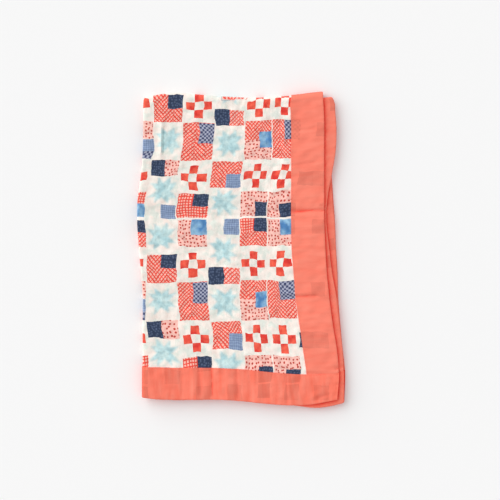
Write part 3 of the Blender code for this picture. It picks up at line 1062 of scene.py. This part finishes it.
# The print's colours: name, what it is, sRGB hex
PRINT_INKS = {
    "cream": ("Cream", "Unprinted muslin", "#fcf3ea"),
    "cream_pink": ("Pinkish cream", "Muslin over a red patch of the layer below", "#ffe9df"),
    "cream_aqua": ("Greenish cream", "Muslin over an aqua patch of the layer below", "#dfeae0"),
    "brick": ("Brick red", "Ground of the herringbone and the lattice", "#ee4f40"),
    "brick_shade": ("Brick shade", "Ticks on the pink fabric", "#c64c40"),
    "blush": ("Blush", "Dashes of the herringbone and the lattice", "#ffbdae"),
    "faded_red": ("Faded red", "Ground of the lighter herringbone", "#f26052"),
    "pink": ("Pink", "Ground of the ticked fabric", "#ffc6ba"),
    "navy": ("Navy", "Ground of the navy squares", "#2f3d58"),
    "slate": ("Slate", "Dots on the navy squares", "#54627e"),
    "indigo": ("Indigo", "Dark checks of the speckled squares", "#454c70"),
    "mist": ("Mist", "Light checks of the speckled squares", "#aeb2c7"),
    "blue": ("Blue", "Blue squares, where the ink is full", "#5288c0"),
    "sky": ("Sky", "Blue squares, where the ink is thin", "#90bad8"),
    "violet": ("Violet blue", "Ground of the small check", "#96abc9"),
    "violet_shade": ("Violet shade", "Lines of the small check", "#7687ab"),
    "poppy": ("Poppy", "The crosses", "#fe6851"),
    "scarlet": ("Scarlet", "The crosses, where the ink is thick", "#dd3a32"),
    "aqua": ("Aqua", "The stars", "#b0d7dd"),
    "pale_aqua": ("Pale aqua", "The stars, where the ink is thin", "#c9e4e4"),
}


class BlanketClothSettings(bpy.types.PropertyGroup):
    """The printed cloth"""

    crinkle_height: length_property("Crinkle height", "Height of the cloth's small waves", 0.00045)
    thread_pitch: length_property("Thread pitch", "From thread to thread, wider than real", 0.0012)
    weave_depth: length_property("Weave depth", "Depth of the weave", 0.00006)
    crease_depth: length_property("Crease depth", "Depth of the fine creases", 0.0012)


for ink_name, (title, told, hex_value) in PRINT_INKS.items():
    BlanketClothSettings.__annotations__[ink_name] = colour_property(title, told, hex_value)


class BlanketBindingSettings(bpy.types.PropertyGroup):
    """The coral binding"""

    coral: colour_property("Coral", "The binding's colour", "#fa7f69")
    coral_light: colour_property("Light coral", "The binding where the dye is thinner", "#ff907a")
    # The end strips are a slightly deeper coral than the side strips
    end_coral: colour_property("End coral", "The end strips, of a slightly deeper dye", "#fa745c")
    fuzz: colour_property("Fuzz", "The binding's loose fibres, lit from behind", "#ff6046")
    # Painted glow: the red of light passed between the layers, painted into the binding's hollows
    painted_hollow_glow: colour_property("Hollow red", "The binding in the hollows between the hems", "#ff3e2e")
    show_through: number_property(
        "Show-through", "How much of the print shows through the binding", 0.17, max=1, subtype="FACTOR"
    )


class BlanketStitchSettings(bpy.types.PropertyGroup):
    """The stitching along the binding"""

    stitch_pitch: length_property("Stitch pitch", "Distance from one stitch to the next", 0.0032)
    stitch_length: length_property("Stitch length", "How much thread shows in one stitch", 0.0024)
    thread_radius: length_property("Thread radius", "Half the thread's thickness", 0.00022)
    from_seam: length_property("Distance from seam", "How far onto the binding the stitches run", 0.0025)
    thread_light: colour_property("Light thread", "The thread's lit strands", "#ff9683")
    thread_dark: colour_property("Dark thread", "The thread's shaded strands", "#e2705f")


class BlanketStageSettings(bpy.types.PropertyGroup):
    """The floor, light and camera"""

    floor_colour: colour_property("Floor", "The background paper's colour", "#f7f7f7")
    key_strength: number_property(
        "Key light", "Watts per square metre from the large far light at the upper left", 2.23
    )
    key_width: number_property(
        "Key width", "How wide the key light looks from the blanket", math.radians(75),
        subtype="ANGLE", unit="ROTATION",
    )
    room_strength: number_property("Room light", "Strength of the white room's light", 0.672)
    camera_height: length_property("Camera height", "From the printed cloth to the lens", 2.125)
    camera_lens: number_property("Lens", "Focal length", 85, lowest=1, subtype="DISTANCE_CAMERA")


# The pieces

def declare(piece, node, across, along):
    """Puts a sheet of cloth on the body that it rides on and hides the solid that it stands for. Its cut
    size, across and along, is not used.
    """
    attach(piece, BODY)
    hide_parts(node)


class BLANKET_OT_patchwork_cloth(bpy.types.Operator):
    """Makes the printed cloth, folded in half twice"""

    bl_idname = "blanket.patchwork_cloth"
    bl_label = "Patchwork Cloth"

    def execute(self, context):
        settings = context.scene.blanket_cloth
        across = across_stations(HALF_WIDTH - PANEL_INSET, HIDDEN_STEP)
        along = along_stations(HALF_LENGTH - PANEL_INSET, HIDDEN_STEP)
        muslin = printed_muslin(settings)
        crinkled = settings.crinkle_height
        cloth = sewn_piece("patchwork_cloth", across, along, PANEL_THICKNESS, as_cut, crinkled, muslin)
        declare(cloth, "patchwork_panel", across, along)
        return {"FINISHED"}


class BLANKET_OT_binding(bpy.types.Operator):
    """Makes the four coral strips that wrap the blanket's edges"""

    bl_idname = "blanket.binding"
    bl_label = "Binding"

    def execute(self, context):
        settings = context.scene.blanket_cloth
        binding = context.scene.blanket_binding
        side_coral = coral_muslin("piece_dyed_cotton_muslin", settings, binding, binding.coral)
        # The end strips take a slightly deeper coral than the side strips
        end_coral = coral_muslin("deeper_coral_cotton_muslin", settings, binding, binding.end_coral)
        along_side = along_stations(HALF_LENGTH - BORDER, STRIP_STEP)
        across_end = across_stations(HALF_WIDTH, STRIP_STEP, STRIP_STEP)
        sides = (round_edge_stations(), along_side, side_coral)
        ends = (across_end, round_edge_stations(), end_coral)
        strips = (
            ("side_strip_outer", "side_binding_outer", round_side_edge(1), sides),
            ("side_strip_inner", "side_binding_inner", round_side_edge(-1), sides),
            ("end_strip_upper", "end_binding_upper", round_end_edge(1), ends),
            ("end_strip_lower", "end_binding_lower", round_end_edge(-1), ends),
        )
        crinkled = settings.crinkle_height
        for name, node, lay, (across, along, coral) in strips:
            strip = sewn_piece(name, across, along, BINDING_THICKNESS, lay, crinkled, coral)
            declare(strip, node, across, along)
        return {"FINISHED"}


def stitch_tree(thread):
    """Geometry nodes that lay one stitch after another along each line."""
    tree = bpy.data.node_groups.new("run_of_stitches", "GeometryNodeTree")
    sockets = tree.interface
    sockets.new_socket("Geometry", in_out="INPUT", socket_type="NodeSocketGeometry")
    for name in ("Pitch", "Length", "Radius"):
        sockets.new_socket(name, in_out="INPUT", socket_type="NodeSocketFloat")
    sockets.new_socket("Geometry", in_out="OUTPUT", socket_type="NodeSocketGeometry")
    given = tree.nodes.new("NodeGroupInput").outputs
    lines = add(tree, "GeometryNodeMeshToCurve", given["Geometry"])
    spaced = add(tree, "GeometryNodeResampleCurve", mode="LENGTH").node
    tree.links.new(lines, spaced.inputs["Curve"])
    tree.links.new(given["Pitch"], spaced.inputs["Length"])
    tangent = add(tree, "GeometryNodeInputTangent")
    outward = add(tree, "GeometryNodeInputNamedAttribute", "outward", data_type="FLOAT_VECTOR")
    along = add(tree, "aim", None, 1.0, tangent, axis="X")
    facing = add(tree, "aim", along, 1.0, outward, axis="Z", pivot_axis="X")
    # Each stitch is a low ball, stretched along the thread
    half = add(tree, "math multiply", given["Length"], 0.5)
    size = add(tree, "ShaderNodeCombineXYZ", half, given["Radius"], given["Radius"])
    stitch = add(tree, "GeometryNodeMeshIcoSphere", 1.0, 1)
    laid = add(tree, "GeometryNodeInstanceOnPoints").node
    carried = {"Points": spaced.outputs[0], "Instance": stitch, "Rotation": facing, "Scale": size}
    for name, value in carried.items():
        tree.links.new(value, laid.inputs[name])
    real = add(tree, "GeometryNodeRealizeInstances", laid.outputs[0])
    rounded = add(tree, "GeometryNodeSetShadeSmooth", real)
    coloured = add(tree, "GeometryNodeSetMaterial", rounded, None, thread)
    leaving = tree.nodes.new("NodeGroupOutput")
    tree.links.new(coloured, leaving.inputs["Geometry"])
    return tree


def seam_lines(from_seam, crinkle_height):
    """The lines of stitching on the printed side, and which way is out of the cloth along them."""
    surface = BINDING_OFFSET + BINDING_THICKNESS / 2
    side_line = HALF_WIDTH - BORDER + from_seam
    end_line = HALF_LENGTH - BORDER + from_seam
    lines = []
    for edge in (1, -1):
        along = np.array(along_stations(HALF_LENGTH - BORDER, STRIP_STEP))
        lines.append((np.full_like(along, edge * side_line), along))
        across = np.array(across_stations(HALF_WIDTH - SEWN_SHORT, STRIP_STEP, STRIP_STEP))
        lines.append((across, np.full_like(across, edge * end_line)))
    for across, along in lines:
        here = folded(across, along, np.full_like(across, surface), crinkle_height)
        above = folded(across, along, np.full_like(across, surface + MM), crinkle_height)
        outward = above - here
        yield here, outward / np.linalg.norm(outward, axis=-1, keepdims=True)


class BLANKET_OT_stitching(bpy.types.Operator):
    """Sews the run of stitches that holds the binding along its seam"""

    bl_idname = "blanket.stitching"
    bl_label = "Stitching"

    def execute(self, context):
        stitching = context.scene.blanket_stitching
        crinkle_height = context.scene.blanket_cloth.crinkle_height
        places, outward, edges = [], [], []
        for here, out in seam_lines(stitching.from_seam, crinkle_height):
            first = len(places)
            places.extend(here.tolist())
            outward.extend(out.tolist())
            edges.extend((first + step, first + step + 1) for step in range(len(here) - 1))
        mesh = bpy.data.meshes.new("seam_lines")
        mesh.from_pydata(places, edges, [])
        facing = mesh.attributes.new("outward", "FLOAT_VECTOR", "POINT")
        facing.data.foreach_set("vector", np.ravel(outward))
        lines = new_object("seam_lines", mesh)
        tree = stitch_tree(sewing_thread(stitching))
        sewing = lines.modifiers.new("stitches", "NODES")
        sewing.node_group = tree
        sizes = {
            "Pitch": stitching.stitch_pitch,
            "Length": stitching.stitch_length,
            "Radius": stitching.thread_radius,
        }
        for socket in tree.interface.items_tree:
            if socket.in_out == "INPUT" and socket.name in sizes:
                sewing[socket.identifier] = sizes[socket.name]
        evaluated = lines.evaluated_get(context.evaluated_depsgraph_get())
        sewn = new_object("binding_stitches", bpy.data.meshes.new_from_object(evaluated))
        bpy.data.objects.remove(lines)
        if not sewn.data.polygons:
            raise RuntimeError("no stitches were sewn")
        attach(sewn, BODY)
        return {"FINISHED"}


class BLANKET_OT_studio(bpy.types.Operator):
    """Lays the pale floor, lights it softly and sets the camera straight above"""

    bl_idname = "blanket.studio"
    bl_label = "Studio"

    def execute(self, context):
        stage = context.scene.blanket_stage
        scene = context.scene
        square = ((-1, -1), (1, -1), (1, 1), (-1, 1))
        corners = [(x * FLOOR_HALF, y * FLOOR_HALF, TABLE_LEVEL - FLOOR_GAP) for x, y in square]
        mesh = bpy.data.meshes.new("floor")
        mesh.from_pydata(corners, [], [(0, 1, 2, 3)])
        mesh.materials.append(seamless_paper(stage))
        new_object("floor", mesh)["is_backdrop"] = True

        lamp = bpy.data.lights.new("key_light", "SUN")
        lamp.energy = stage.key_strength
        lamp.angle = stage.key_width
        key = new_object("key_light", lamp)
        key.rotation_euler = Vector(KEY_COURSE).to_track_quat("-Z", "Y").to_euler()

        room = bpy.data.worlds.new("white_room")
        room.use_nodes = True
        background = room.node_tree.nodes["Background"]
        background.inputs["Color"].default_value = (1, 1, 1, 1)
        background.inputs["Strength"].default_value = stage.room_strength
        scene.world = room

        camera = bpy.data.cameras.new("camera")
        camera.lens = stage.camera_lens
        above = new_object("camera", camera)
        above.location = (*CAMERA_ASIDE, CAMERA_BASE + stage.camera_height)
        scene.camera = above
        scene.view_settings.view_transform = "Standard"
        return {"FINISHED"}


# The add-on

class BLANKET_PT_sidebar(bpy.types.Panel):
    """The blanket's settings and the buttons that make its pieces"""

    bl_label = "Patchwork Blanket"
    bl_idname = "BLANKET_PT_sidebar"
    bl_space_type = "VIEW_3D"
    bl_region_type = "UI"
    bl_category = "Blanket"

    def draw(self, context):
        for operator, group in STEPS:
            box = self.layout.box()
            box.operator(operator.bl_idname)
            settings = getattr(context.scene, group)
            for name in settings.bl_rna.properties.keys():
                if name not in ("rna_type", "name"):
                    box.prop(settings, name)


GROUPS = {
    "blanket_cloth": BlanketClothSettings,
    "blanket_binding": BlanketBindingSettings,
    "blanket_stitching": BlanketStitchSettings,
    "blanket_stage": BlanketStageSettings,
}
STEPS = (
    (BLANKET_OT_patchwork_cloth, "blanket_cloth"),
    (BLANKET_OT_binding, "blanket_binding"),
    (BLANKET_OT_stitching, "blanket_stitching"),
    (BLANKET_OT_studio, "blanket_stage"),
)


def register():
    for group in GROUPS.values():
        bpy.utils.register_class(group)
    for operator, _ in STEPS:
        bpy.utils.register_class(operator)
    bpy.utils.register_class(BLANKET_PT_sidebar)
    for name, group in GROUPS.items():
        setattr(bpy.types.Scene, name, bpy.props.PointerProperty(type=group))


def unregister():
    for name in GROUPS:
        delattr(bpy.types.Scene, name)
    bpy.utils.unregister_class(BLANKET_PT_sidebar)
    for operator, _ in reversed(STEPS):
        bpy.utils.unregister_class(operator)
    for group in GROUPS.values():
        bpy.utils.unregister_class(group)


def main():
    register()
    bpy.ops.blanket.patchwork_cloth()
    bpy.ops.blanket.binding()
    bpy.ops.blanket.stitching()
    bpy.ops.blanket.studio()
    boxes = {"cad_box": CAD_BOX, "visual_box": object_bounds()}
    plain = {name: [[float(value) for value in corner] for corner in box] for name, box in boxes.items()}


if __name__ == "__main__":
    main()
